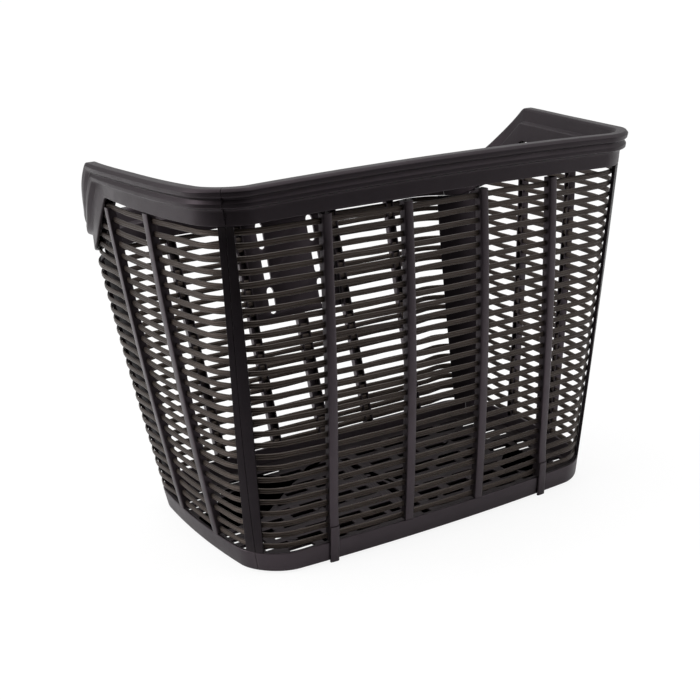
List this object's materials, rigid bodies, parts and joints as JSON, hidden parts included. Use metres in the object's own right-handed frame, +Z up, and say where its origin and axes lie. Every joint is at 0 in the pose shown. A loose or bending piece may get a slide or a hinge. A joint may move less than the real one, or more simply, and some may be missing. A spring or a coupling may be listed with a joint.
{
  "type": "handlebar basket",
  "caption": "Open-topped bicycle handlebar basket with woven-look horizontal strands, upright ribs, stepped rim, low rear wall with a slotted mounting panel and a slotted floor.",
  "frame": {"origin": "middle of the bounding box's underside, at the level of the feet", "axes": "+X across the width, -Y towards the high front wall, +Y towards the low rear wall that is fixed to the handlebar bracket, +Z up"},
  "size_m": [0.4034, 0.2522, 0.2799],
  "materials": {
    "frame": "semi-gloss moulded polypropylene, dark brown",
    "ribs": "semi-gloss moulded polypropylene, dark brown",
    "strand": "rattan-look plastic strands with fine lengthwise streaks, brown",
    "floor": "moulded plastic, dark brown"
  },
  "bodies": {
    "root": {"floor_grid": "floor", "foot_band_front": "frame", "foot_band_left": "frame", "foot_band_rear": "frame", "foot_band_right": "frame", "mounting_plate": "frame", "post_front_left_front_half": "ribs", "post_front_left_side_half": "ribs", "post_front_right_front_half": "ribs", "post_front_right_side_half": "ribs", "post_rear_left": "ribs", "post_rear_right": "ribs", "rib_front_1": "ribs", "rib_front_2": "ribs", "rib_front_3": "ribs", "rib_front_4": "ribs", "rib_left_front": "ribs", "rib_left_rear": "ribs", "rib_rear_1": "ribs", "rib_rear_2": "ribs", "rib_rear_3": "ribs", "rib_rear_4": "ribs", "rib_rear_5": "ribs", "rib_right_front": "ribs", "rib_right_rear": "ribs", "rim_front": "frame", "rim_left": "frame", "rim_rear": "frame", "rim_right": "frame", "strand_01": "strand", "strand_02": "strand", "strand_03": "strand", "strand_04": "strand", "strand_05": "strand", "strand_06": "strand", "strand_07": "strand", "strand_08": "strand", "strand_09": "strand", "strand_10": "strand", "strand_11": "strand", "strand_12": "strand", "strand_13": "strand", "strand_14": "strand", "strand_15": "strand", "strand_16": "strand", "strand_17": "strand", "strand_18": "strand", "strand_19": "strand", "strand_20": "strand", "strand_21": "strand", "strand_22": "strand", "strand_23": "strand", "strand_24": "strand", "strand_25": "strand", "strand_26": "strand", "strand_27": "strand"}
  },
  "joints": []
}
